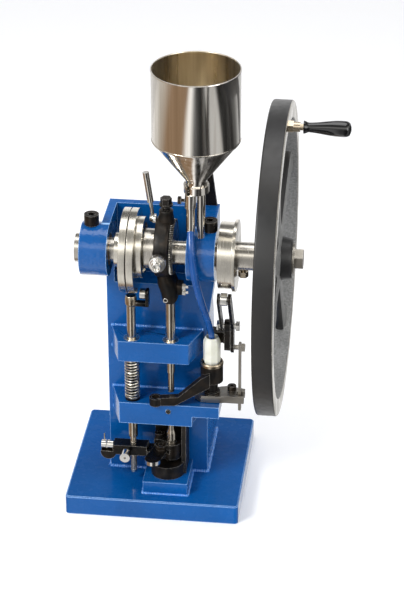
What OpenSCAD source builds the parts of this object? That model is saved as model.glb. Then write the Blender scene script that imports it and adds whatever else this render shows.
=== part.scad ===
// Hand-driven single-station tablet press: blue welded frame, crank shaft with
// cams, connecting rod, upper and lower punch, swinging feed shoe and hopper.
// Millimetres. Origin: centre of the base plate's underside. +X runs along the
// main shaft towards the handwheel, +Y to the back, +Z up.

/* [Frame] */
// Width of the base plate
base_w = 280; // [270:1:300]
// Depth of the base plate
base_d = 270; // [262:1:300]
// Thickness of the base plate
base_t = 33; // [30:1:36]
// Width of the column
column_w = 160; // [158:1:164]
// Thickness of the guide block
guide_t = 36; // [30:1:38]
// Thickness of the die table
table_t = 38; // [34:1:39]

/* [Drive] */
// Radius of the handwheel's rim
wheel_r = 242; // [230:1:250]
// Width of the handwheel's rim
rim_w = 31; // [26:1:34]
// Number of spokes
spokes = 5; // [3:1:6]
// Throw of the eccentric, half the punch stroke
throw = 10; // [6:1:10]
// Length of the revolving grip
grip_l = 71; // [60:1:80]

/* [Press] */
// Diameter of the punch tips
tip_d = 10.5; // [8:0.5:11]
// Filling depth in the die
fill_depth = 12; // [8:1:12]
// Teeth on the pressure adjusting ring
ring_teeth = 72; // [60:2:84]

/* [Hopper] */
// Outer diameter of the hopper
hopper_d = 134; // [120:2:140]
// Height of the hopper's straight wall
hopper_h = 112; // [90:1:130]

/* [Hidden] */
$fn = 64;

// Clearances
run = 0.05;   // radial clearance of a running fit
air = 0.5;    // gap between neighbours that only pass each other

// Colours
blue = [0.09, 0.22, 0.55];
steel = [0.72, 0.71, 0.68];
bright = [0.85, 0.84, 0.82];
black = [0.08, 0.08, 0.08];
bronze = [0.62, 0.48, 0.26];

// Main planes and axes
col_x = column_w / 2;
col_y = -37;               // front face of the column
col_back = 96;             // back of the column at its foot
col_back_top = 16;         // back of the column at its rim
shaft_y = -74;
shaft_z = 455;
top_z = shaft_z + 42;      // rim of the column, tangent to the housings
pocket_z = 378;            // floor of the cam pocket
pocket_y = 3;              // front face of the pocket's back wall
arm_t = 13;                // thickness of the side arms
cheek_x = 94;              // outer face of the thick right-hand arm
housing_r = 42;
lift_x = -36;
punch_x = 26;
guide_top = 300;
guide_bot = guide_top - guide_t;
table_top = 188;
table_bot = table_top - table_t;
block_front = -89;         // front face of guide block and die table
front_half = 56;           // half width of both blocks at the front
back_half = 74;            // half width of both blocks at the column

// Shaft parts
shaft_r = 19;
sleeve_r = 22;
disc_r = 66;
lift_cam_r = 48;
lift_cam_rise = 6;
sheave_r = 38;
sheave_hub_r = 31.5;
big_end_r = 48;
rod_x0 = 6;                // left face of the connecting rod's big end
rod_x1 = 28.3;             // right face of the big end
ring_x1 = 34.5;            // right face of the adjusting ring
ring_r = 43;
drum_r = 52;
drum_flange_r = 56;
drum_x0 = 104;
drum_x1 = 126;
wheel_x = 175;             // left face of the rim
handle_r = 221;            // radius at which the handle sits
ecc_z = shaft_z + throw;   // eccentric centre, at top dead centre

// Rods and punches
rod_r = 8;
lift_r = 7.3;
tip_r = tip_d / 2;
upper_tip_z = table_top + 18;
lower_tip_z = table_top - fill_depth;
die_r = 12;

// Feeder and lever
pivot_x = 90;
pivot_y = -62;
plate_z0 = table_top + 1;
plate_z1 = plate_z0 + 12;
cup_r = 18;
lever_y = -62;
lever_z = 324;
roller_y = -111;
roller_z = 397.5;
bar_x = 134.5;

// Hopper
hopper_x = 69;
hopper_y = -88;
rim_z = 767;
cone_z = rim_z - hopper_h;
outlet_z = 581;
outlet_r = 16.5;
sheet = 1.2;
post_x = 76;
post_y = -88;
spout_x = 61.5;
spout_y = -100;

// ---- Small building blocks ----

// Cylinder along X from x0 to x1
module rod_x(r, x0, x1, y = shaft_y, z = shaft_z) {
    translate([x0, y, z]) rotate([0, 90, 0]) cylinder(r = r, h = x1 - x0);
}

// Cylinder along Y from y0 to y1
module rod_y(r, y0, y1, x, z) {
    translate([x, y0, z]) rotate([-90, 0, 0]) cylinder(r = r, h = y1 - y0);
}

// Cylinder along Z from z0 to z1
module rod_z(r, z0, z1, x, y) {
    translate([x, y, z0]) cylinder(r = r, h = z1 - z0);
}

// Straight bore between two points
module bore_between(a, b, r) {
    d = b - a;
    translate(a) rotate([0, acos(d[2] / norm(d)), atan2(d[1], d[0])]) cylinder(r = r, h = norm(d));
}

// Box between two corners
module box(a, b) {
    translate(a) cube(b - a);
}

// Hexagonal prism along Z
module hex_z(r, z0, z1, x, y) {
    translate([x, y, z0]) cylinder(r = r, h = z1 - z0, $fn = 6);
}

// Hexagonal prism along X
module hex_x(r, x0, x1, y, z) {
    translate([x0, y, z]) rotate([0, 90, 0]) cylinder(r = r, h = x1 - x0, $fn = 6);
}

// Socket head screw along Z: head on z0, shank below
module cap_screw_z(head_r, head_h, shank_r, shank_l, x, y, z0) {
    difference() {
        union() {
            rod_z(head_r, z0, z0 + head_h, x, y);
            rod_z(shank_r, z0 - shank_l, z0, x, y);
        }
        hex_z(head_r * 0.5, z0 + head_h * 0.4, z0 + head_h + 1, x, y);
    }
}

// Rounded rectangular plate standing on z0
module rounded_plate(w, d, r, z0, z1) {
    translate([0, 0, z0]) linear_extrude(z1 - z0) {
        square([w - 2 * r, d], center = true);
        square([w, d - 2 * r], center = true);
        for (sx = [-1, 1], sy = [-1, 1]) translate([sx * (w / 2 - r), sy * (d / 2 - r)]) circle(r);
    }
}

// Plan outline that narrows from the column to the front
module tapered_block(z0, z1) {
    translate([0, 0, z0]) linear_extrude(z1 - z0)
        polygon([[-back_half, col_y], [-front_half, block_front],
                 [front_half, block_front], [back_half, col_y]]);
}

// ---- Frame ----

module base_plate() {
    color(blue) {
        rounded_plate(base_w, base_d, 6, 0, base_t - 2);
        rounded_plate(base_w - 3, base_d - 3, 5, base_t - 2, base_t);
    }
}

// Raised block under the lower punch
block_z = base_t + 22;
module foot_block() {
    color(blue) box([-17, -112, base_t], [56, col_y - 0.1, block_z]);
}

module column() {
    color(blue) difference() {
        union() {
            translate([-col_x, 0, 0]) rotate([90, 0, 90]) linear_extrude(column_w)
                polygon([[col_y, base_t], [col_back, base_t], [col_back, base_t + 70],
                         [col_back_top, top_z - 60], [col_back_top, top_z], [col_y, top_z]]);
            translate([0, col_back_top, 0]) rotate([90, 0, 0]) linear_extrude(col_back_top - col_y)
                polygon([[col_x - 1, 300], [cheek_x, 410], [cheek_x, top_z], [col_x - 1, top_z]]);
            for (s = [-1, 1])
                translate([s * (col_x - arm_t / 2), 0, 0])
                    box([-arm_t / 2, shaft_y, shaft_z - 40], [arm_t / 2, col_y + 1, top_z]);
        }
        box([-col_x + arm_t, col_y - 1, pocket_z], [col_x - arm_t, pocket_y, top_z + 1]);
        for (s = [-1, 1]) rod_x(housing_r, s * 75 - 20, s * 75 + 20);
    }
}

module guide_block() {
    color(blue) difference() {
        tapered_block(guide_bot, guide_top);
        for (x = [lift_x, punch_x]) rod_z(12, guide_bot - 1, guide_top + 1, x, shaft_y);
    }
}

module die_table() {
    color(blue) difference() {
        union() {
            tapered_block(table_bot, table_top);
            box([front_half - 1, block_front, table_bot], [61, col_y - 12, table_top]);
            box([60, block_front, table_top - 20], [pivot_x + 14, col_y - 8, table_top]);
        }
        rod_z(die_r, table_top - 22, table_top + 1, punch_x, shaft_y);
        rod_z(rod_r + air, table_bot - 1, table_top, punch_x, shaft_y);
        rod_z(lift_r + run, table_bot - 1, table_top + 1, lift_x, shaft_y);
        rod_y(4 + run, block_front - 1, shaft_y - die_r + 2, punch_x - 3, table_top - 12);
        rod_z(6, table_top - 20.5, table_top + 1, pivot_x, pivot_y);
    }
}

// Left and right bearing housing
left_housing = [-110, -67];
right_housing = [55, 99];
bush_r = shaft_r + 6;
module bearing_housings() {
    color(blue) for (h = [left_housing, right_housing]) difference() {
        rod_x(housing_r, h[0], h[1]);
        rod_x(bush_r, h[0] - 1, h[1] + 1);
        rod_z(8, shaft_z + bush_r, top_z + 1, (h[0] + h[1]) / 2 + (h[0] < 0 ? -6 : 11.5), shaft_y);
    }
}

module shaft_bushes() {
    color(bronze) for (h = [left_housing, right_housing]) difference() {
        rod_x(bush_r, h[0], h[1]);
        rod_x(shaft_r + run, h[0] - 1, h[1] + 1);
    }
}

module housing_screws() {
    color(black) for (h = [left_housing, right_housing])
        cap_screw_z(11.5, 17, 8, top_z - shaft_z - bush_r - 1,
                    (h[0] + h[1]) / 2 + (h[0] < 0 ? -6 : 11.5), shaft_y, top_z);
}

module guide_bushes() {
    color(steel) for (g = [[lift_x, lift_r], [punch_x, rod_r]]) difference() {
        rod_z(12, guide_bot, guide_top, g[0], shaft_y);
        rod_z(g[1] + run, guide_bot - 1, guide_top + 1, g[0], shaft_y);
    }
}

module die() {
    color(steel) difference() {
        rod_z(die_r, table_top - 22, table_top, punch_x, shaft_y);
        rod_z(tip_r + run, table_top - 23, table_top + 1, punch_x, shaft_y);
    }
}

module die_lock_screw() {
    color(black) difference() {
        rod_y(4, block_front - 1.5, shaft_y - die_r - 0.2, punch_x - 3, table_top - 12);
        translate([punch_x - 3, block_front - 2, table_top - 12]) rotate([-90, 0, 0])
            cylinder(r = 2.2, h = 3, $fn = 6);
    }
}

// Cast bracket that carries the lower adjuster
module adjuster_bracket() {
    color(black) difference() {
        union() {
            rod_z(27, block_z, block_z + 22, 20, -76);
            box([-4, col_y - 16, block_z], [50, col_y - 0.1, block_z + 22]);
            box([43, -80, block_z], [50, col_y - 0.1, table_bot - 0.5]);
            box([-4, col_y - 8, block_z + 20], [50, col_y - 0.1, table_bot - 0.5]);
        }
        rod_z(9, block_z + 8, block_z + 23, punch_x, shaft_y);
    }
}

// ---- Lever bearing and feeder bearing ----

module lever_bracket() {
    color(black) difference() {
        union() {
            box([col_x, -46, 282], [119.5, -28, 302]);
            box([110, lever_y - 8, 286], [119.5, -40, lever_z]);
            rod_x(10, 110, 119.5, lever_y, lever_z);
            rod_x(8, 110, 119.5, lever_y, 288);
        }
        rod_x(5, 109, 120, lever_y, lever_z);
        box([col_x - 1, -60, 281], [col_x + 26, col_y, 283]);
    }
}

module lever_pivot_bolt() {
    color(bright) {
        rod_x(5, 101, 130, lever_y, lever_z);
        hex_x(9, 98, 101, lever_y, lever_z);
        hex_x(9, 128.2, 134, lever_y, lever_z);
    }
}

module feeder_pivot_pin() {
    color(steel) rod_z(6, table_top - 20.5, plate_z1 + 20, pivot_x, pivot_y);
}

// ---- Hopper and spout ----

module hopper_post() {
    color(bright) difference() {
        rod_z(6.75, top_z - 9, outlet_z - 12, post_x, post_y);
        rod_x(housing_r, right_housing[0], right_housing[1]);
    }
}

module hopper() {
    r = hopper_d / 2;
    color(bright) translate([hopper_x, hopper_y, 0]) rotate_extrude() {
        polygon([[outlet_r, outlet_z], [outlet_r, outlet_z + 8], [r, cone_z], [r, rim_z],
                 [r - sheet, rim_z], [r - sheet, cone_z], [outlet_r - sheet, outlet_z + 8],
                 [outlet_r - sheet, outlet_z]]);
        translate([r - sheet / 2, rim_z]) circle(1.4);
    }
}

// Floor plate of the hopper outlet; it holds the spout and the post
module outlet_collar() {
    color(bright) difference() {
        rod_z(19.5, outlet_z - 12, outlet_z, hopper_x, hopper_y);
        rod_z(6, outlet_z - 13, outlet_z + 1, spout_x, spout_y);
    }
}

spout_bot = 505;
module spout_tube() {
    color(bright) difference() {
        union() {
            rod_z(8.6, 546, outlet_z - 12, spout_x, spout_y);
            rod_z(6.8, spout_bot, 546, spout_x, spout_y);
        }
        rod_z(5.6, spout_bot - 1, outlet_z - 11, spout_x, spout_y);
    }
}

module spout_thumb_screw() {
    color(black) {
        rod_x(2.5, spout_x - 16, spout_x - 8.7, spout_y, 558);
        rod_x(6, spout_x - 19, spout_x - 14, spout_y, 558);
    }
}

// Point on a cubic curve through four control points
function curve(p, t) = pow(1 - t, 3) * p[0] + 3 * t * pow(1 - t, 2) * p[1]
    + 3 * t * t * (1 - t) * p[2] + t * t * t * p[3];

hose_path = [[spout_x, spout_y, spout_bot - 8], [spout_x + 8, spout_y - 72, spout_bot - 70],
             [pivot_x - 1, pivot_y - 28, 358], [pivot_x, pivot_y, 299]];
hose_steps = 12;
hose_r = 5.6;
module feed_hose() {
    color([0.1, 0.25, 0.6]) for (i = [0 : hose_steps - 1]) hull() {
        translate(curve(hose_path, i / hose_steps)) sphere(hose_r, $fn = 18);
        translate(curve(hose_path, (i + 1) / hose_steps)) sphere(hose_r, $fn = 18);
    }
}

nozzle_top = 303;
module nozzle() {
    color([0.93, 0.93, 0.86]) difference() {
        union() {
            translate([pivot_x, pivot_y, 251]) cylinder(r1 = 11, r2 = 14, h = 10, $fn = 8);
            translate([pivot_x, pivot_y, 261]) cylinder(r = 14, h = nozzle_top - 269, $fn = 8);
            translate([pivot_x, pivot_y, nozzle_top - 8]) cylinder(r1 = 14, r2 = 10.5, h = 8, $fn = 8);
        }
        rod_z(9.2, 290, nozzle_top + 1, pivot_x, pivot_y);
        rod_z(7.5, 283, 291, pivot_x, pivot_y);
        rod_z(5, 250, 284, pivot_x, pivot_y);
    }
}

// Flat stay on the back rim behind the hopper
module rear_stay() {
    color(black) translate([0, pocket_y + 12, 0]) rotate([90, 0, 0]) linear_extrude(6)
        polygon([[68, top_z], [90, top_z], [82, top_z + 62], [70, top_z + 64]]);
}

// ---- Crank shaft group ----

module main_shaft() {
    color(steel) {
        rod_x(shaft_r, -112, 214);
        rod_x(10, 214, 226);
    }
}

module shaft_end_collar() {
    color(steel) difference() {
        rod_x(22.5, -120, -110.4);
        rod_x(shaft_r, -112, -109);
    }
}

module flange_disc() {
    color(steel) difference() {
        union() {
            rod_x(disc_r, -46, -35.3);
            rod_x(disc_r - 3, -36, -33);
            rod_x(disc_r, -33.7, -23);
            rod_x(27, -58, -46);
        }
        rod_x(shaft_r, -60, -20);
    }
}

module lift_cam() {
    color(steel) difference() {
        union() {
            rod_x(lift_cam_r, -22.7, -12.7, shaft_y, shaft_z + lift_cam_rise);
        }
        rod_x(lift_cam_r - 9, -16.7, -12, shaft_y, shaft_z + lift_cam_rise);
        rod_x(shaft_r, -24, -12);
    }
    color(steel) difference() {
        rod_x(26, -17, -12.7);
        rod_x(shaft_r, -24, -12);
    }
}

module eccentric_sheave() {
    color(steel) difference() {
        union() {
            rod_x(sheave_hub_r, -12.5, rod_x0, shaft_y, shaft_z + 5);
            rod_x(sheave_r, rod_x0, ring_x1, shaft_y, ecc_z);
        }
        rod_x(shaft_r, -14, ring_x1 + 1);
    }
}

module feed_cam() {
    color(steel) difference() {
        union() {
            rod_x(drum_r, drum_x0, drum_x1 - 0.1);
            rod_x(drum_flange_r, drum_x1, 131);
        }
        rod_x(shaft_r, drum_x0 - 1, 132);
    }
}

module wheel_sleeve() {
    color(steel) difference() {
        rod_x(sleeve_r, 131, 163);
        rod_x(shaft_r, 130, 164);
        rod_z(4, shaft_z - sleeve_r - 1, shaft_z - shaft_r + 1, 140, shaft_y);
    }
}

module cam_set_screw() {
    color(steel) {
        rod_z(4, shaft_z - sleeve_r - 4, shaft_z - shaft_r - 0.3, 140, shaft_y);
        hex_z(8, shaft_z - sleeve_r - 13, shaft_z - sleeve_r - 4, 140, shaft_y);
    }
}

// Handwheel: rim, tapered spokes and hub
hub_r = 37;
rim_t = 27;
module handwheel() {
    color(black) difference() {
        union() {
            translate([wheel_x, shaft_y, shaft_z]) rotate([0, 90, 0]) rotate_extrude($fn = 128)
                polygon([[wheel_r - rim_t, 3], [wheel_r - rim_t + 3, 0], [wheel_r - 4, 0],
                         [wheel_r, 4], [wheel_r, rim_w - 4], [wheel_r - 4, rim_w],
                         [wheel_r - rim_t + 3, rim_w], [wheel_r - rim_t, rim_w - 3]]);
            for (i = [0 : spokes - 1]) translate([wheel_x + 7, shaft_y, shaft_z])
                rotate([i * 360 / spokes, 0, 0]) rotate([90, 0, 90]) linear_extrude(17)
                    polygon([[-17, 30], [17, 30], [12, wheel_r - rim_t + 4],
                             [-12, wheel_r - rim_t + 4]]);
            rod_x(hub_r, 163, 216);
        }
        rod_x(shaft_r, 162, 217);
        rod_x(5, wheel_x + 5, wheel_x + rim_w + 1, shaft_y, shaft_z + handle_r);
    }
}

module wheel_nut() {
    color(bright) difference() {
        union() {
            rod_x(24, 216, 219);
            hex_x(17, 219, 232, shaft_y, shaft_z);
        }
        rod_x(10, 213, 226);
    }
}

// ---- Revolving handle ----

handle_z = shaft_z + handle_r;
handle_x0 = wheel_x + rim_w;
grip_x0 = 228;
module handle_stud() {
    color(bright) {
        rod_x(5, wheel_x + 5, grip_x0 + grip_l - 8, shaft_y, handle_z);
        hex_x(9.5, handle_x0, handle_x0 + 7, shaft_y, handle_z);
        rod_x(7.5, handle_x0 + 7, grip_x0 - 5, shaft_y, handle_z);
    }
}

module handle_grip() {
    color(black) translate([grip_x0, shaft_y, handle_z]) rotate([0, 90, 0]) difference() {
        rotate_extrude() polygon(concat([[0, 0]],
            [for (i = [0 : 24]) let (t = i / 24)
                [8.6 + 4 * pow(sin(180 * pow(t, 1.5)), 1) + 2 * t * (t < 0.98 ? 1 : 0.2), grip_l * t]],
            [[0, grip_l]]));
        translate([0, 0, -1]) cylinder(r = 5 + run, h = grip_l - 6);
    }
}

// ---- Connecting rod group ----

shank_y0 = shaft_y - 22;
shank_y1 = shaft_y + 22;
rod_end_z = 371;
clamp_x = 21;
knob_x = 15.5;
knob_z = ecc_z + 3;
module connecting_rod() {
    color(black) difference() {
        union() {
            rod_x(big_end_r, rod_x0, rod_x1, shaft_y, ecc_z);
            box([rod_x0, shank_y0, 415], [rod_x1, shank_y1, ecc_z]);
            translate([0, shank_y1, 0]) rotate([90, 0, 0]) linear_extrude(shank_y1 - shank_y0)
                polygon([[rod_x0, 432], [rod_x1, 432], [rod_x1, 418], [43, 418], [40, 400],
                         [36, rod_end_z], [16, rod_end_z], [8, 400]]);
            box([rod_x0 + 2, shaft_y - 13, ecc_z + 40], [rod_x1, shaft_y + 13, 522]);
            rod_z(11, 509, 528, clamp_x, shaft_y);
            rod_y(9, -128, -105, knob_x, knob_z);
            box([36, shaft_y - 12, 384], [46, shaft_y + 12, 404]);
        }
        rod_x(sheave_r + run, rod_x0 - 1, rod_x1 + 1, shaft_y, ecc_z);
        box([punch_x - rod_r - air, shaft_y - rod_r - throw - air, rod_end_z - 1],
            [punch_x + rod_r + air, shaft_y + rod_r + throw + air, 411]);
        rod_y(5 + run, -129, -113, knob_x, knob_z);
    }
}

module rod_clamp_bolt() {
    color(black) {
        rod_z(6, 528, 535, clamp_x, shaft_y);
        rod_z(10.5, 535, 538, clamp_x, shaft_y);
        hex_z(9, 538, 548, clamp_x, shaft_y);
    }
}

module rod_side_bolts() {
    color(bright) for (z = [389, 399]) {
        hex_x(5, 46, 51, shaft_y - 6, z);
        rod_x(2.5, 51, 55, shaft_y - 6, z);
    }
}

lock_z = 512;
module lock_lever() {
    color(bright) {
        translate([-4, shaft_y, lock_z]) rotate([0, 90, 0]) cylinder(r1 = 4.5, r2 = 7, h = 5.7);
        rod_x(7, 1.7, 5.7, shaft_y, lock_z);
        translate([1, shaft_y, lock_z]) rotate([0, -8, 0]) {
            cylinder(r = 3, h = 30);
            translate([0, 0, 28]) cylinder(r = 5, h = 50);
        }
    }
}

// Toothed outline of the adjusting ring
function gear_points(r, teeth, depth) = [for (i = [0 : teeth - 1], k = [0 : 3])
    let (a = 360 * (i + [0, 0.25, 0.5, 0.75][k]) / teeth, q = k < 2 ? r : r - depth)
    [q * cos(a), q * sin(a)]];

module adjuster_ring() {
    color(black) difference() {
        translate([rod_x1 + 0.3, shaft_y, ecc_z]) rotate([0, 90, 0])
            linear_extrude(ring_x1 - rod_x1 - 0.3) polygon(gear_points(ring_r, ring_teeth, 1.8));
        rod_x(sheave_r + run, rod_x1, ring_x1 + 1, shaft_y, ecc_z);
    }
}

module adjuster_knob() {
    color(bright) {
        rod_y(5, -134, -114, knob_x, knob_z);
        rod_y(13.2, -150, -132, knob_x, knob_z);
        translate([knob_x, -150, knob_z]) rotate([90, 0, 0]) cylinder(r = 6, h = 4, $fn = 6);
    }
}

// ---- Upper punch ----

module punch_rod() {
    color(bright) {
        rod_z(rod_r, guide_bot - 2, rod_end_z + 10, punch_x, shaft_y);
        translate([punch_x, shaft_y, rod_end_z + 10]) sphere(rod_r);
    }
}

module upper_punch() {
    color(bright) {
        rod_z(6.5, guide_bot - 22, guide_bot - 2, punch_x, shaft_y);
        rod_z(tip_r, upper_tip_z, guide_bot - 22, punch_x, shaft_y);
    }
}

// ---- Lift rod group ----

lift_top = 358;
cross_z0 = 86;
cross_z1 = 103;
step_z = 96;
keeper_x = 10;            // swivel axis of the keeper plate
keeper_y = -84;
keeper_r = 13;
module lift_rod() {
    color(bright) {
        rod_z(lift_r, 118, lift_top, lift_x, shaft_y);
        rod_z(4.6, 50, 118, lift_x, shaft_y);
    }
}

roller_pin_z = 379.5;
lift_roller_r = 8.5;
module lift_fork() {
    color(black) {
        box([lift_x - 8, shaft_y - 9, lift_top], [lift_x + 8, shaft_y + 9, 376]);
        box([lift_x + 7, shaft_y - 6, lift_top], [-7.5, shaft_y + 6, 366]);
        box([-12.2, shaft_y - 9, lift_top], [-7.5, shaft_y + 9, 388]);
        rod_x(4, -21.5, -10, shaft_y, roller_pin_z);
    }
}

module lift_roller() {
    color(steel) difference() {
        rod_x(lift_roller_r, -21.4, -12.7, shaft_y, roller_pin_z);
        rod_x(4 + run, -22, -12, shaft_y, roller_pin_z);
    }
}

module spring_collar() {
    color(black) difference() {
        rod_z(12, table_top + 0.5, table_top + 5, lift_x, shaft_y);
        rod_z(lift_r, table_top, table_top + 6, lift_x, shaft_y);
    }
}

// Coil spring as a ribbed sleeve
coils = 13;
spring_z0 = table_top + 5;
coil_pitch = (guide_bot - spring_z0) / coils;
module lift_spring() {
    color(bright) translate([lift_x, shaft_y, spring_z0]) rotate_extrude()
        polygon(concat([[9.4, 0]],
            [for (i = [0 : coils - 1], k = [0 : 3])
                [k == 1 || k == 2 ? 12.4 : 10.4, coil_pitch * (i + k / 4 + 0.05)]],
            [[9.4, guide_bot - spring_z0]]));
}

module crosshead() {
    color(black) difference() {
        union() {
            box([-76, -84, cross_z0], [-12, -62, cross_z1]);
            rod_y(12.5, -84, -62, -76, cross_z0 + 3);
            box([-13, -86, cross_z0 - 1], [30, -60, step_z]);
            rod_z(16, cross_z0 - 1, 112, punch_x, shaft_y);
            box([-3, -70, step_z - 1], [16, -56, 110]);
        }
        box([-90, -90, 91], [-68.5, -60, cross_z1 + 1]);
        rod_z(4.6, cross_z0 - 1, cross_z1 + 1, lift_x, shaft_y);
        rod_z(rod_r, cross_z0 + 6, 113, punch_x, shaft_y);
        rod_y(3 + run, -85, shaft_y - 5, -46, 94);
        box([-13.5, -90, step_z], [8.5, -70, 112]);
        rod_z(keeper_r + 3, step_z, 104, keeper_x, keeper_y);
        rod_z(9.5, 103.5, 113, keeper_x, keeper_y);
        rod_x(3 + run, -72, -59.5, shaft_y, 98);
        rod_z(4, 104, 111, 5, -62);
        rod_z(4.9, 92.2, step_z + 1, keeper_x, keeper_y);
    }
}

module lower_punch() {
    color(steel) difference() {
        union() {
            rod_z(rod_r, cross_z0 + 6, 128, punch_x, shaft_y);
            translate([punch_x, shaft_y, 128]) cylinder(r1 = rod_r, r2 = tip_r, h = 8);
            rod_z(tip_r, 136, lower_tip_z, punch_x, shaft_y);
        }
        rod_z(keeper_r + 0.3, step_z, 104, keeper_x, keeper_y);
    }
}

module crosshead_bolts() {
    color(black) {
        cap_screw_z(8, 9, 4, 6, 5, -62, 110);
        cap_screw_z(9, 7, 4.9, 11, keeper_x, keeper_y, 103.2);
    }
}

// Swivelling keeper plate with round ends
module clamp_plate() {
    color(black) difference() {
        translate([0, 0, step_z + 0.3]) linear_extrude(6.6) {
            translate([keeper_x, keeper_y]) circle(keeper_r);
            translate([1, -116]) circle(keeper_r);
            polygon([[-2.5, -80.5], [22.5, -87.5], [13.5, -119.5], [-11.5, -112.5]]);
        }
        rod_z(4.95, step_z - 1, 104, keeper_x, keeper_y);
    }
}

module stud_lock_knob() {
    color(bright) difference() {
        union() {
            rod_y(3, -90, shaft_y - 5.5, -46, 94);
            rod_y(5.5, -92, -84.2, -46, 94);
            rod_y(8.2, -106, -92, -46, 94);
        }
        rod_y(2, -107, -100, -46, 94);
    }
}

// Slotted end screw with its cross pin
module end_screw() {
    color(bright) {
        difference() {
            rod_x(7, -88, -69, shaft_y, 98.2);
            box([-80.5, shaft_y - 8, 90], [-78, shaft_y - 4.5, 106]);
            box([-80.5, shaft_y - 8, 102.8], [-78, shaft_y + 8, 106]);
            rod_z(1.1, 90, 106, -83, shaft_y - 1);
        }
        rod_x(3, -69, -60, shaft_y, 98);
    }
    color(bright) rod_z(1.1, 91.4, 119, -83, shaft_y - 1);
}

// ---- Feed lever and feed shoe ----

lever_len = sqrt(pow(roller_y - lever_y, 2) + pow(roller_z - lever_z, 2));
lever_lean = atan2(roller_y - lever_y, roller_z - lever_z);
module lever_plate(x0, x1, down) {
    difference() {
        union() {
            translate([x0, lever_y, lever_z]) rotate([-lever_lean, 0, 0])
                box([0, -8, 0], [x1 - x0, 8, lever_len]);
            rod_x(9, x0, x1, lever_y, lever_z);
            translate([x1, roller_y, roller_z]) rotate([0, -90, 0]) cylinder(r = 9, h = x1 - x0);
            if (down > 0) {
                box([x0, lever_y - 7.5, lever_z - down], [x1, lever_y + 7.5, lever_z]);
                rod_x(9, x0, x1, lever_y, lever_z - down);
            }
        }
        rod_x(5 + run, x0 - 1, x1 + 1, lever_y, lever_z);
    }
}

lever_down = 38;
module feed_lever() {
    color(black) {
        lever_plate(103.5, 107.5, 0);
        lever_plate(120.2, 125.2, lever_down);
        rod_x(4, 107.5, 120.2, roller_y, roller_z);
    }
}

module feed_roller() {
    color(steel) difference() {
        rod_x(10, 109, 119, roller_y, roller_z);
        rod_x(4 + run, 108, 120, roller_y, roller_z);
    }
}

bar_half = 4.5;
bar_bot = 172;
module link_bar() {
    color(steel) {
        box([bar_x - 2.2, lever_y - bar_half, bar_bot],
            [bar_x + 2.2, lever_y + bar_half, lever_z - lever_down + 8]);
        rod_x(4, 125.2, bar_x - 2.2, lever_y, lever_z - lever_down);
        hex_x(7.5, bar_x + 2.2, bar_x + 8, lever_y, lever_z - lever_down);
    }
}

slot_half = bar_half + 2;
module feeder_plate() {
    color(steel) difference() {
        translate([0, 0, plate_z0]) linear_extrude(plate_z1 - plate_z0)
            polygon([[63, -66], [74, -76], [104, -76], [112, -74], [142, -74],
                     [142, -46], [112, -40], [96, -45], [72, -50], [63, -58]]);
        rod_z(6 + run, plate_z0 - 1, plate_z1 + 1, pivot_x, pivot_y);
        box([bar_x - 5, lever_y - slot_half, plate_z0 - 1], [143, lever_y + slot_half, plate_z1 + 1]);
    }
}

// Cup, hinge column and sloping chute in one casting
foot = [3, -88.5];
arm_half = 6;
module feed_shoe() {
    color(black) difference() {
        union() {
            rod_z(13, plate_z1, plate_z1 + 4, pivot_x, pivot_y);
            rod_z(9.5, plate_z1, 228, pivot_x, pivot_y);
            rod_z(cup_r, 224, 256, pivot_x, pivot_y);
            translate([foot[0], foot[1], 0]) rotate([0, 0, 6]) translate([0, arm_half, 0])
                rotate([90, 0, 0]) linear_extrude(2 * arm_half)
                    polygon([[0, table_top + 0.6], [30, table_top + 0.6], [86, 222],
                             [86, 246], [72, 238], [36, 204], [0, 202]]);
            translate([foot[0], foot[1], table_top + 0.6]) rotate([0, 0, 180]) cylinder(r = 10, h = 13.4);
        }
        rod_z(cup_r - 2.5, 251, 257, pivot_x, pivot_y);
        rod_z(8, 234, 252, pivot_x, pivot_y);
        bore_between([pivot_x, pivot_y, 239], [83, -80, 234], 3.4);
        bore_between([83.5, -80, 234.4], [28, -86, 190], 3.4);
        rod_z(4.6, table_top, 197, 27, -86);
        rod_z(6 + run, plate_z1 - 1, plate_z1 + 20.5, pivot_x, pivot_y);
        rod_z(6.5, table_top, 203, foot[0], foot[1]);
    }
}

module feeder_plate_bolt() {
    color(black) {
        difference() {
            rod_z(7, plate_z1, plate_z1 + 8, 121, -51.5);
            hex_z(3.5, plate_z1 + 3.2, plate_z1 + 9, 121, -51.5);
        }
        rod_z(6, plate_z0 - 8, plate_z0, 121, -51.5);
    }
}

base_plate();
foot_block();
column();
guide_block();
die_table();
bearing_housings();
shaft_bushes();
housing_screws();
guide_bushes();
die();
die_lock_screw();
adjuster_bracket();
lever_bracket();
lever_pivot_bolt();
feeder_pivot_pin();
hopper_post();
hopper();
outlet_collar();
spout_tube();
feed_hose();
nozzle();
rear_stay();
spout_thumb_screw();
main_shaft();
shaft_end_collar();
flange_disc();
lift_cam();
eccentric_sheave();
feed_cam();
wheel_sleeve();
cam_set_screw();
handwheel();
wheel_nut();
handle_stud();
handle_grip();
connecting_rod();
rod_clamp_bolt();
rod_side_bolts();
lock_lever();
adjuster_ring();
adjuster_knob();
punch_rod();
upper_punch();
lift_rod();
lift_fork();
lift_roller();
spring_collar();
lift_spring();
crosshead();
lower_punch();
crosshead_bolts();
clamp_plate();
stud_lock_knob();
end_screw();
feed_lever();
feed_roller();
link_bar();
feeder_plate();
feed_shoe();
feeder_plate_bolt();
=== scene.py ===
import math

import bmesh
import bpy
from mathutils import Matrix, Vector


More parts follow.
